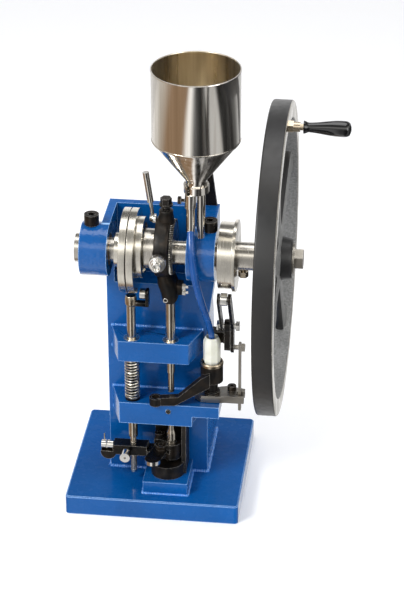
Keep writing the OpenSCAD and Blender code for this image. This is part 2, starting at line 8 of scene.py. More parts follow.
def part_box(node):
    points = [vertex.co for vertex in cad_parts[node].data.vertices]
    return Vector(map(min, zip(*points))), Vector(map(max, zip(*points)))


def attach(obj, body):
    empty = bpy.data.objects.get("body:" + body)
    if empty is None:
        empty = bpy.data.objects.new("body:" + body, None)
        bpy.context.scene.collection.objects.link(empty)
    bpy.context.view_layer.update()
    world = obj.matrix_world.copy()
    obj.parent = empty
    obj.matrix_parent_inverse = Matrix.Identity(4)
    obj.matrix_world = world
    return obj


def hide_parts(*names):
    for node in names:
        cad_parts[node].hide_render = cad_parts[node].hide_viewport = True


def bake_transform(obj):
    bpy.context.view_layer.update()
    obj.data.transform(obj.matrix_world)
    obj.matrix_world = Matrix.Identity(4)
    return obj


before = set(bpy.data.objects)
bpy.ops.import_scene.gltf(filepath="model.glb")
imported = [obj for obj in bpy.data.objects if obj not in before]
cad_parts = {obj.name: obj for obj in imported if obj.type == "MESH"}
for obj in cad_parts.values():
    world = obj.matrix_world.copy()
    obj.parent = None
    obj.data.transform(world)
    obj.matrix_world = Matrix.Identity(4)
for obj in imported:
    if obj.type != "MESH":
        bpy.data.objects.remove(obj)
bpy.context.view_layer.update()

# Sizes written as plain numbers are in mm; the scene is in metres.
MM = 0.001
TURN = 2 * math.pi

# ---------------------------------------------------------------- material helpers


def new_material(name, colour, rough, metal=0.0, coat=0.0):
    """A material with its shader's plain values set; returns (material, tree, shader)."""
    material = bpy.data.materials.new(name)
    material.use_nodes = True
    tree = material.node_tree
    shader = tree.nodes["Principled BSDF"]
    shader.inputs["Base Color"].default_value = (*colour, 1)
    shader.inputs["Roughness"].default_value = rough
    shader.inputs["Metallic"].default_value = metal
    shader.inputs["Coat Weight"].default_value = coat
    shader.inputs["Coat Roughness"].default_value = 0.08
    return material, tree, shader


def noise(tree, scale, detail=3.0, stretch=(1, 1, 1)):
    """Noise in object space; stretch above 1 on an axis packs it tighter along that axis."""
    place = tree.nodes.new("ShaderNodeTexCoord")
    mapping = tree.nodes.new("ShaderNodeMapping")
    mapping.inputs["Scale"].default_value = stretch
    texture = tree.nodes.new("ShaderNodeTexNoise")
    texture.inputs["Scale"].default_value = scale
    texture.inputs["Detail"].default_value = detail
    tree.links.new(place.outputs["Object"], mapping.inputs["Vector"])
    tree.links.new(mapping.outputs["Vector"], texture.inputs["Vector"])
    return texture.outputs["Fac"]


def rgba(colour):
    """A colour with alpha 1; a bare number is a grey."""
    if isinstance(colour, (int, float)):
        colour = (colour, colour, colour)
    return (*colour, 1)


def ramp(tree, factor, stops):
    """A colour ramp over (position, colour) stops; a bare number is a grey."""
    node = tree.nodes.new("ShaderNodeValToRGB")
    elements = node.color_ramp.elements
    elements[0].position = stops[0][0]
    elements[1].position = stops[-1][0]
    places = [elements[0], elements[1]]
    colours = [stops[0][1], stops[-1][1]]
    for place, colour in zip(places, colours):
        place.color = rgba(colour)
    for position, colour in stops[1:-1]:
        elements.new(position).color = rgba(colour)
    tree.links.new(factor, node.inputs["Fac"])
    return node.outputs["Color"]


def mix(tree, factor, a, b):
    """Colour a where factor is 0 and b where it is 1; each is a socket or a colour."""
    node = tree.nodes.new("ShaderNodeMix")
    node.data_type = "RGBA"
    sockets = {"Factor": factor, "A": a, "B": b}
    inputs = {"Factor": node.inputs[0], "A": node.inputs[6], "B": node.inputs[7]}
    for key, value in sockets.items():
        if isinstance(value, bpy.types.NodeSocket):
            tree.links.new(value, inputs[key])
        elif isinstance(value, (int, float)):
            inputs[key].default_value = value
        else:
            inputs[key].default_value = (*value, 1)
    return node.outputs[2]


def edge_mask(tree, radius, low=0.02, high=0.25):
    """White along the edges of a shape, black on its faces."""
    bevel = tree.nodes.new("ShaderNodeBevel")
    bevel.samples = 4
    bevel.inputs["Radius"].default_value = radius
    geometry = tree.nodes.new("ShaderNodeNewGeometry")
    dot = tree.nodes.new("ShaderNodeVectorMath")
    dot.operation = "DOT_PRODUCT"
    tree.links.new(bevel.outputs["Normal"], dot.inputs[0])
    tree.links.new(geometry.outputs["True Normal"], dot.inputs[1])
    return ramp(tree, dot.outputs["Value"], [(1 - high, 1.0), (1 - low, 0.0)])


def add_bump(tree, shader, height, strength, distance):
    """Adds one more layer of relief to a shader."""
    node = tree.nodes.new("ShaderNodeBump")
    node.inputs["Strength"].default_value = strength
    node.inputs["Distance"].default_value = distance
    tree.links.new(height, node.inputs["Height"])
    previous = shader.inputs["Normal"].links
    if previous:
        tree.links.new(previous[0].from_socket, node.inputs["Normal"])
    tree.links.new(node.outputs["Normal"], shader.inputs["Normal"])
    tree.links.new(node.outputs["Normal"], shader.inputs["Coat Normal"])


def link(tree, socket, shader, name):
    """Feeds one of a shader's inputs from a socket."""
    tree.links.new(socket, shader.inputs[name])


# ---------------------------------------------------------------- materials

DEEP_BLUE = (0.001, 0.074, 0.27)
LIGHT_BLUE = (0.002, 0.104, 0.375)
SHAFT_COLOUR = (0.58, 0.545, 0.49)
DISC_COLOUR = (0.74, 0.7, 0.62)
ROD_COLOUR = (0.7, 0.64, 0.55)
PLATE_COLOUR = (0.45, 0.42, 0.37)
BRIGHT_COLOUR = (0.8, 0.78, 0.74)
SPRING_COLOUR = (0.8, 0.77, 0.7)
NICKEL_COLOUR = (0.6, 0.5, 0.37)
BRONZE_COLOUR = (0.5, 0.33, 0.15)


def blue_paint(name, peel, tint=1.0, coat=0.5):
    """Glossy blue enamel; peel is how strongly the metal's texture shows through the paint, and tint
    scales its blue. Its edges are lightened to pale blue as a painted highlight.
    """
    material, tree, shader = new_material(name, (0.003, 0.07, 0.27), 0.22, coat=coat)
    shader.inputs["Coat Roughness"].default_value = 0.04
    shader.inputs["Specular IOR Level"].default_value = 0.12
    deep, light = (tuple(tint * c for c in blue) for blue in (DEEP_BLUE, LIGHT_BLUE))
    patches = ramp(tree, noise(tree, 9), [(0.3, deep), (0.7, light)])
    # Edges lightened to pale blue: painted highlight, standing in for light caught on rounded edges.
    highlit_edges = mix(tree, edge_mask(tree, 1.8 * MM, 0.01, 0.14), patches, (0.34, 0.58, 0.95))
    link(tree, highlit_edges, shader, "Base Color")
    dust = ramp(tree, noise(tree, 60, 5), [(0.35, 0.2), (0.75, 0.36)])
    link(tree, dust, shader, "Roughness")
    add_bump(tree, shader, noise(tree, 190, 2), peel, 0.8 * MM)
    add_bump(tree, shader, noise(tree, 14, 2), 0.25, 2.5 * MM)
    return material


def turned_steel(name, colour, rough, axis, relief, spread=0.4):
    """Machined metal with tool marks round the given axis. relief is how deep the marks look,
    and spread is how far they vary the roughness."""
    material, tree, shader = new_material(name, colour, rough, metal=1.0)
    stretch = [1.0, 1.0, 1.0]
    stretch["xyz".index(axis)] = 40.0
    marks = noise(tree, 30, 4, stretch)
    tint = tuple(0.72 * c for c in colour)
    stained = ramp(tree, noise(tree, 35, 5), [(0.3, tint), (0.75, colour)])
    # Edges lightened towards pale steel: painted highlight.
    link(tree, mix(tree, edge_mask(tree, 0.8 * MM), stained, (0.9, 0.88, 0.84)), shader, "Base Color")
    smooth, coarse = rough * (1 - 0.75 * spread), rough * (1 + 1.25 * spread)
    link(tree, ramp(tree, marks, [(0.3, smooth), (0.7, coarse)]), shader, "Roughness")
    if relief:
        add_bump(tree, shader, marks, relief, 0.03 * MM)
    return material


def shaded_between(material, low, high):
    """Blackens a material between two heights, as painted shade on the stretch of rod inside the
    spring.
    """
    tree = material.node_tree
    shader = tree.nodes["Principled BSDF"]
    colour = shader.inputs["Base Color"].links[0].from_socket
    coord = tree.nodes.new("ShaderNodeTexCoord")
    split = tree.nodes.new("ShaderNodeSeparateXYZ")
    tree.links.new(coord.outputs["Object"], split.inputs[0])
    both = tree.nodes.new("ShaderNodeMath")
    both.operation = "MULTIPLY"
    for i, (way, level) in enumerate((("GREATER_THAN", low), ("LESS_THAN", high))):
        test = tree.nodes.new("ShaderNodeMath")
        test.operation = way
        test.inputs[1].default_value = level
        tree.links.new(split.outputs["Z"], test.inputs[0])
        tree.links.new(test.outputs[0], both.inputs[i])
    # Near black between the two heights: painted shade between the coils.
    link(tree, mix(tree, both.outputs[0], colour, (0.012, 0.01, 0.008)), shader, "Base Color")
    return material


def polished_sheet():
    """Polished stainless sheet with faint vertical drawing marks."""
    material, tree, shader = new_material("polished_stainless", (0.8, 0.76, 0.7), 0.1, metal=1.0)
    streaks = noise(tree, 150, 4, (1, 1, 0.03))
    link(tree, ramp(tree, streaks, [(0.3, 0.07), (0.75, 0.2)]), shader, "Roughness")
    tone = ramp(tree, streaks, [(0.3, (0.66, 0.62, 0.56)), (0.7, (0.88, 0.85, 0.8))])
    link(tree, tone, shader, "Base Color")
    add_bump(tree, shader, noise(tree, 16, 2), 0.06, 1.2 * MM)
    return material


def dull_sheet():
    """The duller, drawn inside of the stainless sheet."""
    material, tree, shader = new_material("stainless_inside", (0.6, 0.53, 0.42), 0.3, metal=1.0)
    streaks = noise(tree, 120, 4, (1, 1, 0.05))
    tone = ramp(tree, streaks, [(0.3, (0.58, 0.51, 0.4)), (0.7, (0.8, 0.73, 0.6))])
    link(tree, tone, shader, "Base Color")
    link(tree, ramp(tree, streaks, [(0.3, 0.26), (0.7, 0.31)]), shader, "Roughness")
    return material


def black_oxide(name, colour=(0.011, 0.0105, 0.01), rough=0.3):
    """Oiled black oxide on steel, browned in places, with a painted highlight along its edges."""
    material, tree, shader = new_material(name, colour, rough, metal=0.75)
    brown = tuple(c * k for c, k in zip(colour, (2.6, 2.0, 1.5)))
    patches = ramp(tree, noise(tree, 55, 5), [(0.42, colour), (0.72, brown)])
    # Edges lightened to pale grey: painted highlight.
    highlit_edges = mix(tree, edge_mask(tree, 1.1 * MM, 0.03), patches, (0.6, 0.57, 0.52))
    link(tree, highlit_edges, shader, "Base Color")
    oil = ramp(tree, noise(tree, 120, 4), [(0.3, rough * 0.7), (0.75, rough * 1.5)])
    link(tree, oil, shader, "Roughness")
    add_bump(tree, shader, noise(tree, 420, 3), 0.35, 0.3 * MM)
    return material


def satin_black():
    """The handwheel's satin black enamel, with a painted highlight along its edges."""
    material, tree, shader = new_material("wheel_enamel", (0.012, 0.0125, 0.014), 0.36, coat=0.15)
    shader.inputs["Specular IOR Level"].default_value = 0.36
    shader.inputs["Coat Roughness"].default_value = 0.3
    fade = ramp(tree, noise(tree, 6, 4), [(0.3, (0.012, 0.0125, 0.014)), (0.7, (0.022, 0.02, 0.018))])
    # Edges lightened to grey: painted highlight.
    link(tree, mix(tree, edge_mask(tree, 1.2 * MM), fade, (0.1, 0.1, 0.1)), shader, "Base Color")
    link(tree, ramp(tree, noise(tree, 90, 5), [(0.3, 0.36), (0.7, 0.5)]), shader, "Roughness")
    add_bump(tree, shader, noise(tree, 500, 3), 0.15, 0.2 * MM)
    return material


def cast_grey():
    """Bare cast metal with a sandy grain."""
    material, tree, shader = new_material("cast_grey", (0.3, 0.31, 0.31), 0.5, metal=0.45)
    grain = noise(tree, 320, 4)
    tone = ramp(tree, grain, [(0.3, (0.19, 0.19, 0.186)), (0.7, (0.33, 0.33, 0.32))])
    link(tree, tone, shader, "Base Color")
    link(tree, ramp(tree, noise(tree, 40, 4), [(0.3, 0.4), (0.7, 0.62)]), shader, "Roughness")
    add_bump(tree, shader, grain, 0.3, 0.2 * MM)
    return material


def polished_black():
    """The hard black plastic of the grip."""
    material, tree, shader = new_material("grip_black", (0.004, 0.004, 0.0045), 0.12, coat=0.6)
    shader.inputs["Specular IOR Level"].default_value = 0.35
    link(tree, ramp(tree, noise(tree, 70, 4), [(0.3, 0.07), (0.75, 0.2)]), shader, "Roughness")
    add_bump(tree, shader, noise(tree, 45, 2), 0.05, 0.5 * MM)
    return material


def nylon():
    """Off-white turned nylon."""
    material, tree, shader = new_material("nylon_white", (0.8, 0.8, 0.7), 0.42)
    shader.inputs["Subsurface Weight"].default_value = 0.25
    shader.inputs["Subsurface Radius"].default_value = (3 * MM, 3 * MM, 2 * MM)
    tone = ramp(tree, noise(tree, 60, 4), [(0.3, (0.74, 0.74, 0.62)), (0.7, (0.86, 0.86, 0.78))])
    link(tree, tone, shader, "Base Color")
    link(tree, ramp(tree, noise(tree, 200, 3), [(0.3, 0.34), (0.7, 0.5)]), shader, "Roughness")
    add_bump(tree, shader, noise(tree, 30, 3, (1, 1, 30)), 0.15, 0.1 * MM)
    return material


def hose_plastic():
    """Blue translucent tubing."""
    material, tree, shader = new_material("hose_blue", (0.008, 0.08, 0.32), 0.26, coat=0.3)
    shader.inputs["Transmission Weight"].default_value = 0.15
    shader.inputs["IOR"].default_value = 1.4
    tone = ramp(tree, noise(tree, 40, 4), [(0.3, (0.006, 0.07, 0.28)), (0.7, (0.014, 0.105, 0.38))])
    link(tree, tone, shader, "Base Color")
    link(tree, ramp(tree, noise(tree, 150, 3), [(0.3, 0.16), (0.7, 0.3)]), shader, "Roughness")
    add_bump(tree, shader, noise(tree, 80, 2), 0.08, 0.3 * MM)
    return material


spring_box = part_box("lift_spring")
MATERIALS = {
    "paint": blue_paint("blue_enamel", 0.08),
    "cast_paint": blue_paint("blue_enamel_on_casting", 0.55, tint=0.9, coat=0.9),
    # The weld enamel is the blue lightened 1.9 times: painted highlight for the beads' bright glints.
    "weld_paint_highlit": blue_paint("blue_enamel_on_weld_highlit", 0.7, tint=1.9, coat=1.0),
    "shaft_steel": turned_steel("shaft_steel", SHAFT_COLOUR, 0.2, "x", 0.06),
    "disc_steel": turned_steel("disc_steel", DISC_COLOUR, 0.19, "x", 0.05),
    "rod_steel": turned_steel("rod_steel", ROD_COLOUR, 0.22, "z", 0, spread=0.1),
    "lift_steel": shaded_between(turned_steel("lift_rod_steel", ROD_COLOUR, 0.22, "z", 0, spread=0.1),
                                  spring_box[0].z, spring_box[1].z),
    "plate_steel": turned_steel("plate_steel", PLATE_COLOUR, 0.33, "y", 0.2),
    "bright": turned_steel("bright_steel", BRIGHT_COLOUR, 0.16, "x", 0.05),
    "spring": turned_steel("spring_steel", SPRING_COLOUR, 0.25, "z", 0, spread=0.1),
    "nickel": turned_steel("nickel", NICKEL_COLOUR, 0.25, "z", 0.05),
    "bronze": turned_steel("bronze", BRONZE_COLOUR, 0.3, "z", 0.3),
    "stainless": polished_sheet(),
    "stainless_inside": dull_sheet(),
    "black": black_oxide("black_oxide"),
    "black_cast": black_oxide("black_casting", (0.02, 0.019, 0.018), 0.42),
    "screw_black": black_oxide("screw_black", (0.022, 0.02, 0.018), 0.3),
    "wheel": satin_black(),
    "cast_grey": cast_grey(),
    "grip": polished_black(),
    "nylon": nylon(),
    "hose": hose_plastic(),
}

# ---------------------------------------------------------------- mesh helpers

X, Y, Z = Vector((1, 0, 0)), Vector((0, 1, 0)), Vector((0, 0, 1))


def rib_frames(points):
    """A turning frame (side, up) at each point of a path, with no twist between them."""
    tangents = []
    for i in range(len(points)):
        a = points[max(i - 1, 0)]
        b = points[min(i + 1, len(points) - 1)]
        tangents.append((b - a).normalized())
    start = Z if abs(tangents[0].z) < 0.9 else X
    side = tangents[0].cross(start).normalized()
    frames = []
    for tangent in tangents:
        side = (side - tangent * side.dot(tangent)).normalized()
        frames.append((side, tangent.cross(side)))
    return frames


def loft(rings):
    """Vertices and faces of a closed skin over equal rings of points, capped at both ends."""
    count = len(rings[0])
    verts = [p for ring in rings for p in ring]
    faces = []
    for i in range(len(rings) - 1):
        for k in range(count):
            a, b = i * count + k, i * count + (k + 1) % count
            faces.append((a, b, b + count, a + count))
    faces.append(tuple(range(count)))
    faces.append(tuple(range(len(verts) - count, len(verts)))[::-1])
    return verts, faces


def make_piece(name, verts, faces, material, body, slot, sharp=35):
    """A named piece that rides on a body, with smooth shading broken at sharp edges."""
    mesh = bpy.data.meshes.new(name)
    mesh.from_pydata([tuple(v) for v in verts], [], faces)
    shape = bmesh.new()
    shape.from_mesh(mesh)
    bmesh.ops.remove_doubles(shape, verts=shape.verts, dist=1e-7)
    bmesh.ops.recalc_face_normals(shape, faces=shape.faces)
    shape.to_mesh(mesh)
    shape.free()
    mesh.polygons.foreach_set("use_smooth", [True] * len(mesh.polygons))
    mesh.set_sharp_from_angle(angle=math.radians(sharp))
    mesh.materials.append(MATERIALS[material])
    piece = bpy.data.objects.new(name, mesh)
    bpy.context.scene.collection.objects.link(piece)
    if body:
        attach(piece, body)
    return piece


def sweep(name, points, radius, material, body, slot, sides=16):
    """A round bar along a path; radius is a number or a function of the share of its length."""
    points = [Vector(p) for p in points]
    rings = []
    for i, (point, (side, up)) in enumerate(zip(points, rib_frames(points))):
        r = radius(i / (len(points) - 1)) if callable(radius) else radius
        ring = []
        for k in range(sides):
            angle = TURN * k / sides
            ring.append(point + r * (math.cos(angle) * side + math.sin(angle) * up))
        rings.append(ring)
    verts, faces = loft(rings)
    return make_piece(name, verts, faces, material, body, slot)


AXES = {"x": (Y, Z, X), "y": (Z, X, Y), "z": (X, Y, Z)}


def lathe(name, profile, origin, axis, material, body, slot, steps=96, ripple=None, sharp=35):
    """A turned piece: profile is a closed loop of (radius, height) in mm round an axis through
    origin. ripple is (lowest radius, count, depth): points beyond that radius get that many
    ridges."""
    u, v, w = AXES[axis]
    origin = Vector(origin)
    verts = []
    for k in range(steps):
        angle = TURN * k / steps
        for r, h in profile:
            if ripple and r > ripple[0]:
                r += ripple[2] * math.cos(ripple[1] * angle)
            verts.append(origin + (r * MM) * (math.cos(angle) * u + math.sin(angle) * v) + h * MM * w)
    count = len(profile)
    faces = []
    for k in range(steps):
        for i in range(count):
            j = (i + 1) % count
            if profile[i][0] < 1e-6 and profile[j][0] < 1e-6:
                continue
            a, b = k * count, ((k + 1) % steps) * count
            faces.append((a + i, a + j, b + j, b + i))
    return make_piece(name, verts, faces, material, body, slot, sharp)


def fillet(profile, radius, steps=4):
    """Rounds every corner of a closed (radius, height) loop, as far as its sides allow."""
    out = []
    n = len(profile)
    for i in range(n):
        before, here, after = (Vector(profile[j % n]) for j in (i - 1, i, i + 1))
        a, b = before - here, after - here
        r = min(radius, 0.45 * a.length, 0.45 * b.length)
        if here.x < 1e-6 or r < 1e-6:
            out.append(tuple(here))
            continue
        p, q = here + a.normalized() * r, here + b.normalized() * r
        for s in range(steps + 1):
            t = s / steps
            point = p * (1 - t) ** 2 + here * (2 * t * (1 - t)) + q * t * t
            out.append(tuple(point))
    return out


def superellipse(centre, a, b, u, v, power, count=32):
    """A ring of points: a rounded rectangle of half sizes a and b along u and v."""
    ring = []
    for k in range(count):
        c, q = math.cos(TURN * k / count), math.sin(TURN * k / count)
        across = a * math.copysign(abs(c) ** power, c)
        along = b * math.copysign(abs(q) ** power, q)
        ring.append(centre + u * across + v * along)
    return ring


def paint_faces(piece, material, test):
    """Gives the faces that pass the test another material."""
    piece.data.materials.append(MATERIALS[material])
    slot = len(piece.data.materials) - 1
    for polygon in piece.data.polygons:
        if test(polygon):
            polygon.material_index = slot


# ---------------------------------------------------------------- places, from the frame


def middle(node):
    """The centre of a CAD node's box."""
    low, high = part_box(node)
    return (low + high) / 2


shaft = middle("main_shaft")
shaft_y, shaft_z = shaft.y, shaft.z
lift_axis = middle("lift_rod")
pivot = middle("feeder_pivot_pin")


def from_shaft(p):
    """From the shaft's line to a face's centre, square to the shaft."""
    return Vector((0, p.center.y - shaft_y, p.center.z - shaft_z))


# ---------------------------------------------------------------- CAD nodes' finishes

FINISH = {
    "paint": "base_plate foot_block column guide_block die_table",
    "cast_paint": "bearing_housings",
    "shaft_steel": "main_shaft shaft_end_collar wheel_sleeve eccentric_sheave",
    "disc_steel": "flange_disc lift_cam feed_cam",
    "lift_steel": "lift_rod",
    "rod_steel": "punch_rod upper_punch feeder_pivot_pin die lower_punch guide_bushes",
    "plate_steel": "feeder_plate link_bar wheel_nut",
    "bright": "lock_lever stud_lock_knob end_screw rod_side_bolts lever_pivot_bolt"
    " feed_roller lift_roller",
    "nickel": "cam_set_screw handle_stud",
    "bronze": "shaft_bushes",
    "stainless": "hopper_post outlet_collar spout_tube",
    "black": "spring_collar crosshead clamp_plate rear_stay feed_lever adjuster_ring lever_bracket"
    " die_lock_screw",
    "black_cast": "adjuster_bracket feed_shoe",
    "screw_black": "housing_screws rod_clamp_bolt crosshead_bolts feeder_plate_bolt spout_thumb_screw",
    "nylon": "nozzle",
}
# Edge radius in mm by node or by finish; the rest get the default.
EDGE = {"feed_shoe": 2.5, "paint": 1.5, "cast_paint": 1.5, "nylon": 0.8, "black_cast": 2.0,
        "plate_steel": 0.6}
EDGE_DEFAULT = 0.4
HARD_ANGLE = 32
BEVEL_ANGLE = 40


def hard_edges():
    """A modifier group that keeps an edge sharp where the faces turn by more than HARD_ANGLE."""
    tree = bpy.data.node_groups.new("hard_edges", "GeometryNodeTree")
    for way in ("INPUT", "OUTPUT"):
        tree.interface.new_socket("Geometry", in_out=way, socket_type="NodeSocketGeometry")
    start = tree.nodes.new("NodeGroupInput")
    end = tree.nodes.new("NodeGroupOutput")
    angle = tree.nodes.new("GeometryNodeInputMeshEdgeAngle")
    above = tree.nodes.new("FunctionNodeCompare")
    above.operation = "GREATER_THAN"
    above.inputs["B"].default_value = math.radians(HARD_ANGLE)
    smooth = tree.nodes.new("GeometryNodeSetShadeSmooth")
    smooth.domain = "EDGE"
    smooth.inputs["Shade Smooth"].default_value = False
    tree.links.new(angle.outputs["Unsigned Angle"], above.inputs["A"])
    tree.links.new(above.outputs["Result"], smooth.inputs["Selection"])
    tree.links.new(start.outputs["Geometry"], smooth.inputs["Geometry"])
    tree.links.new(smooth.outputs["Geometry"], end.inputs["Geometry"])
    return tree


HARD_EDGES = hard_edges()


def finish_cad(node, material):
    """Gives a CAD node its material, soft edges and clean shading; its mesh stays as packed."""
    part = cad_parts[node]
    part.data.materials.clear()
    part.data.materials.append(MATERIALS[material])
    part.data.polygons.foreach_set("use_smooth", [True] * len(part.data.polygons))
    weld = part.modifiers.new("weld", "WELD")
    weld.merge_threshold = 1e-6
    bevel = part.modifiers.new("edge", "BEVEL")
    bevel.width = EDGE.get(node, EDGE.get(material, EDGE_DEFAULT)) * MM
    bevel.segments = 3
    bevel.limit_method = "ANGLE"
    bevel.angle_limit = math.radians(BEVEL_ANGLE)
    bevel.use_clamp_overlap = True
    bevel.harden_normals = False
    part.modifiers.new("hard", "NODES").node_group = HARD_EDGES
    normals = part.modifiers.new("normals", "WEIGHTED_NORMAL")
    normals.keep_sharp = True


for finish_name, node_names in FINISH.items():
    for node_name in node_names.split():
        finish_cad(node_name, finish_name)

disc_low, disc_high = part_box("flange_disc")
groove_bottom = (disc_high.z - disc_low.z) / 2 - 2 * MM
groove_from, groove_to = lift_axis.x - 1.3 * MM, lift_axis.x + 4 * MM


def in_groove(p):
    """Whether a face of the twin disc lies down between its two rims."""
    return groove_from < p.center.x < groove_to and from_shaft(p).length < groove_bottom


paint_faces(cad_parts["clamp_plate"], "bright", lambda p: abs(p.normal.z) < 0.5)
# The groove's faces between the disc's rims are painted black: painted shade for the dark line the
# groove shows.
paint_faces(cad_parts["flange_disc"], "black", in_groove)

# ---------------------------------------------------------------- hopper and hose

HOPPER_WALL = 112
HOPPER_NECK = 16.5
SHEET = 1.3


def hopper():
    """Spun hopper: rolled rim, straight wall, cone and short outlet, with a folded seam."""
    low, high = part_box("hopper")
    top = (high.z - low.z) / MM - 1.6
    r = (high.x - low.x) / 2 / MM - 0.9
    shoulder = top - HOPPER_WALL + 1
    outer = [(HOPPER_NECK, 0), (HOPPER_NECK, 8), (r - 1.5, shoulder - 2), (r, shoulder + 1.5), (r, top)]
    rim = [(r + 0.7, top + 0.6), (r + 0.4, top + 1.5), (r - 1.2, top + 1.5),
           (r - SHEET - 0.3, top + 0.4)]
    inner = [(x - SHEET, h) for x, h in reversed(outer)]
    centre = (low + high) / 2
    origin = (centre.x, centre.y, low.z)
    piece = lathe("hopper_shell", outer + rim + inner, origin, "z", "stainless", "frame", "stainless",
                  steps=128, sharp=50)
    axis = Vector((centre.x, centre.y, 0))

    def faces_inward(p):
        return Vector((p.center.x, p.center.y, 0)).dot(p.normal) < axis.dot(p.normal) - 0.004

    paint_faces(piece, "stainless_inside", faces_inward)
    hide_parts("hopper")
    fold = [(r - 2.2, shoulder - 3.2), (r - 1.2, shoulder - 3.2), (r + 0.5, shoulder),
            (r + 0.5, shoulder + 1.2), (r - 1, shoulder + 1.2)]
    lathe("hopper_seam", fillet(fold, 0.4), origin, "z", "stainless", "frame", "stainless", steps=128)


def bezier(points, steps):
    """Points along a cubic curve with four control points."""
    out = []
    a, b, c, d = points
    for i in range(steps + 1):
        t = i / steps
        q = 1 - t
        out.append(a * q ** 3 + b * (3 * t * q ** 2) + c * (3 * t * t * q) + d * t ** 3)
    return out


def hose():
    """Blue hose from inside the spout tube to inside the nozzle."""
    spout_low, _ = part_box("spout_tube")
    spout = middle("spout_tube")
    low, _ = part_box("feed_hose")
    start = Vector((spout.x, spout.y, spout_low.z + 4 * MM))
    end = Vector((pivot.x, pivot.y, low.z + 5.6 * MM))
    leaving, arriving = Vector((8, -70, -76)) * MM, Vector((-1, -28, 60)) * MM
    path = bezier([start, start + leaving, end + arriving, end], 60)

    def radius(t):
        return (5.4 + min(10 * t, 1) - 1.4 * t) * MM

    piece = sweep("hose_tube", path, radius, "hose", "frame", "blue_hose", 24)
    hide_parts("feed_hose")


def cup_ring():
    """Nickelled rim on the cup that holds the nozzle."""
    low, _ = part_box("nozzle")
    profile = fillet([(15.6, 2), (18.6, 2), (18.6, 6), (17.6, 8), (15.6, 8)], 0.6)
    lathe("cup_rim", profile, (pivot.x, pivot.y, low.z), "z", "nickel", "feeder", "bronze", 64)


# ---------------------------------------------------------------- handwheel and grip

SPOKES = 5
RIM_DEPTH = 27
RIM_INSET = 12
RIM_WIDTH = 31
HUB_R = 36.5
BORE_R = 19.5
SPOKE_START = 30
SPOKE_RINGS = 28
SPOKE_SIDES = 24


def spoke_rings(hub_face, out, across, reach):
    """Rings of points along one spoke, which flares into the hub and into the rim."""
    rings = []
    for s in range(SPOKE_RINGS + 1):
        d = SPOKE_START + (reach - SPOKE_START) * s / SPOKE_RINGS
        flare = 16 * math.exp(-(d - 38) / 14) + 12 * math.exp(-(reach - 5 - d) / 11)
        half = (13 + min(flare, 20)) * MM
        thick = (6.5 + min(0.25 * flare, 4)) * MM
        centre = hub_face + out * d * MM + X * (RIM_INSET + 14) * MM
        rings.append(superellipse(centre, half, thick, across, X, 0.6, SPOKE_SIDES))
    return rings


def handwheel():
    """Cast handwheel: rounded rim with a machined face, flared spokes and a hub."""
    low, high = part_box("handwheel")
    r = (high.z - low.z) / 2 / MM
    near, far = RIM_INSET, RIM_INSET + RIM_WIDTH
    origin = Vector((low.x, shaft_y, shaft_z))
    section = fillet([(r - RIM_DEPTH, near), (r, near), (r, far), (r - RIM_DEPTH, far)], 3.0, 5)
    rim = lathe("wheel_rim", section, origin, "x", "wheel", "crank", "wheel_black", steps=192)
    paint_faces(rim, "disc_steel", lambda p: p.normal.x > 0.5)
    paint_faces(rim, "cast_grey", lambda p: from_shaft(p).dot(p.normal) < -0.15)
    width = (high.x - low.x) / MM
    hub = fillet([(BORE_R, 0), (31, 0), (HUB_R, near + 8), (31, width), (BORE_R, width)], 3.0, 4)
    lathe("wheel_hub", hub, origin, "x", "wheel", "crank", "wheel_black", steps=96)
    for i in range(SPOKES):
        angle = TURN * i / SPOKES
        out = Vector((0, math.sin(angle), math.cos(angle)))
        across = Vector((0, math.cos(angle), -math.sin(angle)))
        verts, faces = loft(spoke_rings(origin, out, across, r - RIM_DEPTH + 5))
        spoke = make_piece(f"wheel_spoke_{i + 1}", verts, faces, "wheel", "crank", "wheel_black", 60)
        paint_faces(spoke, "cast_grey", lambda p: p.normal.x > 0.6)
    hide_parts("handwheel")


GRIP_BORE_R = 5.2


def grip():
    """Revolving grip, turned like a vase with a slim neck."""
    low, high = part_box("handle_grip")
    length = (high.x - low.x) / MM
    big = (high.z - low.z) / 2 / MM
    profile = [(GRIP_BORE_R, 0)]
    steps = 36
    for i in range(steps + 1):
        t = i / steps
        neck = 0.62 + 0.1 * math.cos(math.pi * min(t / 0.12, 1))
        swell = 0.36 * math.sin(math.pi * min(t / 0.78, 1) / 2) ** 2.4
        nose = math.sqrt(max(0.0, 1 - max(0.0, (t - 0.86) / 0.14) ** 2.2))
        profile.append((big * (neck + swell) * (0.25 + 0.75 * nose), length * t))
    profile += [(0, length), (0, length - 4), (GRIP_BORE_R, length - 4)]
    centre = (low + high) / 2
    piece = lathe("grip_turned", profile, (low.x, centre.y, centre.z), "x", "grip", "grip",
                  "grip_plastic", 64, sharp=60)
    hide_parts("handle_grip")


# ---------------------------------------------------------------- spring, threads, beads

COILS = 13
FLAT_TURN = 0.9
WIRE_R = 1.5


def spring():
    """Coil spring between collar and guide block."""
    low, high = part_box("lift_spring")
    wire = WIRE_R * MM
    r = (high.x - low.x) / 2 - wire
    bottom, top = low.z + wire, high.z - wire
    centre = (low + high) / 2
    points = []
    steps = (COILS + 2) * 28
    for i in range(steps + 1):
        turn = (COILS + 2) * i / steps
        share = min(max((turn - FLAT_TURN) / (COILS + 0.2), 0), 1)
        height = bottom + (top - bottom) * share
        height += 0.36 * MM * (min(turn, FLAT_TURN) - FLAT_TURN + max(0, turn - COILS - 1.1))
        a = TURN * turn
        x, y = centre.x + r * math.cos(a), centre.y + r * math.sin(a)
        points.append((x, y, min(max(height, bottom), top)))
    piece = sweep("spring_coil", points, wire, "spring", None, "bright_steel", 10)
    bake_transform(piece)
    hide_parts("lift_spring")


